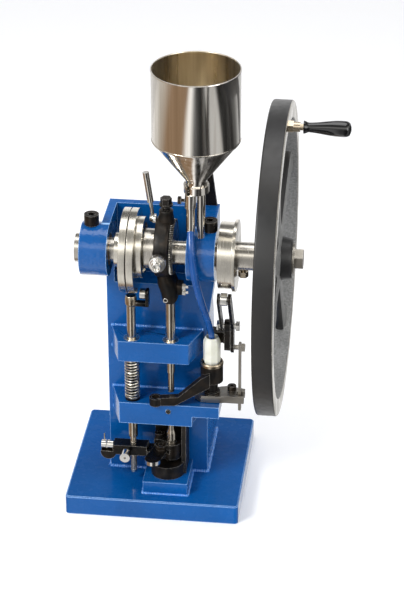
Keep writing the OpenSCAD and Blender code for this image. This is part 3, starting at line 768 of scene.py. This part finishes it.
def thread(name, low, high, material, slot):
    """A screw thread on the lift rod as a fine helical ridge, in mm above the rod's foot."""
    radius, pitch = 4.4, 1.25
    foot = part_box("lift_rod")[0].z
    turns = (high - low) / pitch
    steps = int(turns * 20)
    points = []
    for i in range(steps + 1):
        a = TURN * turns * i / steps
        around = X * (radius * MM * math.cos(a)) + Y * (radius * MM * math.sin(a))
        level = foot + (low + (high - low) * i / steps) * MM
        points.append(Vector((lift_axis.x, lift_axis.y, level)) + around)
    sweep(name, points, 0.38 * pitch * MM, material, "lift", slot, 6)


def weld_bead(name, points, radius):
    """A painted weld: a thin rippled bead laid in a corner, in lightened enamel that is a painted
    highlight.
    """
    points = [Vector(p) for p in points]
    dense = []
    for a, b in zip(points, points[1:]):
        steps = max(2, int((b - a).length / (1.1 * MM)))
        dense += [a.lerp(b, i / steps) for i in range(steps)]
    dense.append(points[-1])
    count = len(dense) - 1

    def lumpy(t):
        i = t * count
        waves = 0.13 * math.sin(i * 1.9) + 0.12 * math.sin(i * 0.37) + 0.06 * math.sin(i * 5.1)
        return radius * MM * (1 + waves)

    sweep(name, dense, lumpy, "weld_paint_highlit", "frame", "blue_paint", 12)


FOOT_BEAD_HALF = 80
FOOT_BEAD_R, BLOCK_BEAD_R, SMALL_BEAD_R = 3.2, 2.7, 2.4


def welds():
    """Beads round the column's foot and where the two blocks meet the column."""
    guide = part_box("guide_block")
    face = guide[1].y
    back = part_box("column")[1].y
    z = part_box("base_plate")[1].z
    half = FOOT_BEAD_HALF * MM
    loop = [(-half, face, z), (half, face, z), (half, back, z), (-half, back, z),
            (-half, face + 1 * MM, z)]
    weld_bead("weld_foot", loop, FOOT_BEAD_R)
    half = (guide[1].x - guide[0].x) / 2
    for name, box in (("guide", guide), ("table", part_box("die_table"))):
        for side, level in (("upper", box[1].z), ("lower", box[0].z)):
            line = [(-half, face, level), (half, face, level)]
            weld_bead(f"weld_{name}_{side}", line, BLOCK_BEAD_R)
    low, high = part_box("foot_block")
    loop = [(low.x, face, z), (low.x, low.y, z), (high.x, low.y, z), (high.x, face, z)]
    weld_bead("weld_foot_block", loop, SMALL_BEAD_R)


# ---------------------------------------------------------------- rod, lift head, adjuster

CLAMP_BOSS = 23
ROD_SHAPE = ("black_cast", "rod", "black_oxide")


def rod_strap():
    """The rod's ring round the eccentric."""
    low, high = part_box("connecting_rod")
    sheave_low, sheave_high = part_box("eccentric_sheave")
    ring = middle("adjuster_ring")
    width = (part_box("adjuster_ring")[0].x - low.x) / MM - 0.2
    r = (high.y - ring.y) / MM
    inner = (sheave_high.z - sheave_low.z) / 2 / MM + 0.4
    section = [(inner, 0), (r - 1, 0), (r, 6), (r, width - 5), (r - 2.5, width), (inner, width)]
    strap = lathe("rod_strap", fillet(section, 4.0, 5), (low.x, ring.y, ring.z), "x", *ROD_SHAPE, 128)
    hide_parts("connecting_rod")


def rod_shank():
    """The rod below its strap: stations of (height, x, half width, half depth) in mm."""
    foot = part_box("connecting_rod")[0].z
    punch = middle("punch_rod")
    stations = [(60, 17.5, 10.5, 24), (52, 18, 11, 25), (44, 19.5, 13, 25), (36, 21.5, 15, 23.5),
                (28, 24, 15.8, 21.5), (18, 26, 14.6, 19.4), (8, 26, 12.6, 18), (3, 26, 11.6, 17.2),
                (0.6, 26, 10.2, 15.6), (0, 26, 8, 13)]
    rings = []
    for h, x, a, b in stations:
        centre = Vector((x * MM, punch.y, foot + h * MM))
        rings.append(superellipse(centre, a * MM, b * MM, X, Y, 0.8))
    make_piece("rod_shank", *loft(rings), *ROD_SHAPE, 50)


def rod_bosses():
    """The rod's knob boss, clamp boss, side pad, and a bright ring at a chamfered hole that is a
    painted highlight for the glint there.
    """
    low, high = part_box("connecting_rod")
    punch = middle("punch_rod")
    knob = middle("adjuster_knob")
    section = fillet([(0, 0), (9, 0), (9.5, 6), (11, 16), (13, 23), (0, 23)], 1.5, 4)
    lathe("rod_knob_boss", section, (knob.x, low.y, knob.z), "y", *ROD_SHAPE, 64)
    bolt = middle("rod_clamp_bolt")
    section = [(0, 0), (13.5, 0), (12, 10), (10.8, 16), (10.8, CLAMP_BOSS), (0, CLAMP_BOSS)]
    lathe("rod_clamp_boss", fillet(section, 2.0, 4), (bolt.x, bolt.y, high.z - CLAMP_BOSS * MM), "z",
          *ROD_SHAPE, 64)
    pad = middle("rod_side_bolts")
    rings = []
    for d, a, b in ((10, 12, 10.5), (2, 11.6, 10), (0.5, 10.9, 9.3), (0, 10, 8.5)):
        centre = Vector((high.x - d * MM, punch.y, pad.z))
        rings.append(superellipse(centre, a * MM, b * MM, Y, Z, 0.55))
    make_piece("rod_side_pad", *loft(rings), *ROD_SHAPE, 50)
    # Bright steel ring round a chamfered hole: the ring is real, its brightness a painted highlight for
    # the hole's glint.
    section = fillet([(2.2, 0), (4.2, 0), (4.2, 2.5), (2.2, 2.5)], 0.6, 3)
    place = (punch.x - 5 * MM, punch.y - 18.2 * MM, low.z + 8 * MM)
    lathe("rod_oil_hole_glint", section, place, "y", "bright", "rod", "bright_steel", 40)


def lift_block(name, near, far, height, half):
    """A black block across the lift rod's head, from x near to x far, rounded at its ends."""
    centre = Vector((0, lift_axis.y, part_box("lift_fork")[0].z + height / 2 * MM))
    rings = []
    for x, cut in ((near, 0.8), (near + 0.8, 0), (far - 0.8, 0), (far, 0.8)):
        rings.append(superellipse(centre + X * x * MM, (half - cut) * MM, (height / 2 - cut) * MM,
                                  Y, Z, 0.5))
    make_piece(name, *loft(rings), "black", "lift", "black_oxide", 50)


def lift_head():
    """Head of the lift rod: turned nickel nut with an arm, cheek and pin for the roller."""
    low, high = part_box("lift_fork")
    roller = middle("lift_roller")
    top = 18
    nut = fillet([(0, 0), (7.6, 0), (9.4, 4), (9.4, 12), (8, top), (0, top)], 1.0, 3)
    head = lathe("lift_head", nut, (lift_axis.x, lift_axis.y, low.z), "z", "nickel", "lift",
                 "bronze", 48)
    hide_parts("lift_fork")
    lift_block("lift_arm", lift_axis.x / MM + 6, high.x / MM - 1, 8, 5.6)
    lift_block("lift_cheek", high.x / MM - 4.7, high.x / MM, 30, 8.6)
    pin = fillet([(0, 0), (3.9, 0), (3.9, 11), (0, 11)], 0.6, 2)
    lathe("lift_roller_pin", pin, (low.x + 22.6 * MM, roller.y, roller.z), "x", "bright", "lift",
          "bright_steel", 32)


def ring_teeth():
    """Bright worm-wheel teeth along the adjusting ring's edge."""
    low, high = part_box("adjuster_ring")
    centre = (low + high) / 2
    r = (high.z - low.z) / 2 / MM
    profile = fillet([(r - 3.5, 0.3), (r - 1.0, 0.3), (r - 1.0, 2.9), (r - 3.5, 2.9)], 0.3, 2)
    lathe("ring_teeth", profile, (low.x, centre.y, centre.z), "x", "bright", "adjuster_ring",
          "bright_steel", 432, ripple=(r - 2, 72, 1.4))


def worm_knob():
    """Pressure knob: ridged collar, stepped nose and socket."""
    low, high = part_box("adjuster_knob")
    centre = (low + high) / 2
    length = (high.y - low.y) / MM
    body = [(0, length), (5, length), (5, 22), (12.7, 22), (12.7, 11), (10.4, 11), (10.4, 6.5),
            (7.6, 6.5), (7.6, 0), (4.2, 0), (4.2, 4), (0, 4)]
    piece = lathe("knob_turned", fillet(body, 0.7, 3), (centre.x, low.y, centre.z), "y", "bright",
                  "adjuster_knob", "bright_steel", 144, ripple=(11.5, 36, 0.35))
    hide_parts("adjuster_knob")


hopper()
hose()
cup_ring()
handwheel()
grip()
spring()
welds()
worm_knob()
rod_strap()
rod_shank()
rod_bosses()
lift_head()
ring_teeth()
thread("lift_stud_thread", 3, 34, "black", "black_oxide")
thread("lift_stud_thread_top", 55, 67, "nickel", "bronze")

# ---------------------------------------------------------------- floor, light, camera

# Tones of the surround that bright metal reflects: white panels, a warm wall and dark gaps.
PANEL = 0.9
LIGHT = 0.45
BUFF = (0.45, 0.42, 0.38)
WARM = (0.24, 0.16, 0.1)
GREY = 0.1
DARK = 0.02


def studio():
    """Pale floor, white surround and soft lights; the surround has dark and warm bands that only
    reflections see, so that bright metal reads as metal."""
    bpy.ops.mesh.primitive_plane_add(size=16, location=(0, 0, -0.0005))
    floor = bpy.context.object
    floor.name = "floor"
    material, tree, shader = new_material("floor_pale", (0.9, 0.9, 0.9), 0.75)
    add_bump(tree, shader, noise(tree, 30, 2), 0.02, MM)
    shader.inputs["Emission Color"].default_value = (1, 1, 1, 1)
    shader.inputs["Emission Strength"].default_value = 0.22
    floor.data.materials.append(material)
    floor.visible_glossy = False

    world = bpy.data.worlds.new("studio")
    bpy.context.scene.world = world
    world.use_nodes = True
    tree = world.node_tree
    background = tree.nodes["Background"]
    coord = tree.nodes.new("ShaderNodeTexCoord")
    split = tree.nodes.new("ShaderNodeSeparateXYZ")
    tree.links.new(coord.outputs["Generated"], split.inputs[0])
    around = tree.nodes.new("ShaderNodeMath")
    around.operation = "ARCTAN2"
    tree.links.new(split.outputs["X"], around.inputs[0])
    tree.links.new(split.outputs["Y"], around.inputs[1])
    share = tree.nodes.new("ShaderNodeMapRange")
    share.inputs["From Min"].default_value = -math.pi
    share.inputs["From Max"].default_value = math.pi
    tree.links.new(around.outputs[0], share.inputs["Value"])
    bands = ramp(tree, share.outputs["Result"], [
        (0.0, GREY), (0.04, PANEL), (0.06, PANEL), (0.1, WARM), (0.25, WARM), (0.34, BUFF),
        (0.48, PANEL), (0.6, GREY), (0.7, DARK), (0.74, DARK), (0.76, LIGHT), (0.86, LIGHT),
        (0.88, DARK), (0.95, DARK), (1.0, GREY)])
    up = split.outputs["Z"]
    lit = ramp(tree, up, [(0.2, 0.3), (0.4, 0.4), (0.5, 1.0), (0.62, 0.9), (0.76, 0.14),
                          (0.92, 0.12), (1.0, 0.2)])
    ahead = mix(tree, lit, (0.0, 0.0, 0.0), (1.8, 1.78, 1.7))
    behind = ramp(tree, up, [(0.2, 0.9), (0.36, 0.8), (0.46, 0.14), (0.75, 0.14), (1.0, 0.3)])
    front = tree.nodes.new("ShaderNodeMapRange")
    front.inputs["From Min"].default_value = 0.1
    front.inputs["From Max"].default_value = -0.1
    tree.links.new(split.outputs["Y"], front.inputs["Value"])
    sky = mix(tree, front.outputs["Result"], behind, ahead)
    room = mix(tree, ramp(tree, up, [(0.0, 0.0), (0.08, 0.0), (0.25, 1.0)]), bands, sky)
    path = tree.nodes.new("ShaderNodeLightPath")
    seen = mix(tree, path.outputs["Is Glossy Ray"], (0.95, 0.96, 1.0), room)
    tree.links.new(seen, background.inputs["Color"])
    power = tree.nodes.new("ShaderNodeMapRange")
    power.inputs["To Min"].default_value = 0.6
    power.inputs["To Max"].default_value = 1.35
    tree.links.new(path.outputs["Is Glossy Ray"], power.inputs["Value"])
    tree.links.new(power.outputs["Result"], background.inputs["Strength"])

    def area(name, place, size, power, aim=(0.05, 0, 0.35)):
        """A square lamp turned towards a point."""
        light = bpy.data.lights.new(name, "AREA")
        light.size = size
        light.energy = power
        lamp = bpy.data.objects.new(name, light)
        lamp.location = place
        lamp.rotation_euler = (Vector(place) - Vector(aim)).to_track_quat("Z", "Y").to_euler()
        bpy.context.scene.collection.objects.link(lamp)

    area("key", (-1.6, -1.9, 2.3), 0.9, 60)
    area("fill", (2.0, -1.6, 1.3), 1.2, 14)
    area("top", (0.2, 0.3, 2.6), 1.6, 22)


VIEW_AZIMUTH = 6.77
VIEW_ELEVATION = 28.93
VIEW_ROLL = 0.10
CAMERA_AT = (0.43844, -3.12931, 2.0692)
LENS = 134.34


def camera():
    """The camera, at the measured direction and distance."""
    data = bpy.data.cameras.new("camera")
    data.sensor_fit = "VERTICAL"
    data.sensor_height = 36
    data.lens = LENS
    data.clip_end = 50
    eye = bpy.data.objects.new("camera", data)
    azimuth, elevation, roll = (math.radians(a) for a in (VIEW_AZIMUTH, VIEW_ELEVATION, VIEW_ROLL))
    turn = Matrix.Rotation(azimuth, 4, "Z") @ Matrix.Rotation(math.pi / 2 - elevation, 4, "X")
    eye.matrix_world = Matrix.Translation(CAMERA_AT) @ turn @ Matrix.Rotation(-roll, 4, "Z")
    bpy.context.scene.collection.objects.link(eye)
    bpy.context.scene.camera = eye


studio()
camera()
bpy.context.scene.view_settings.view_transform = "Standard"
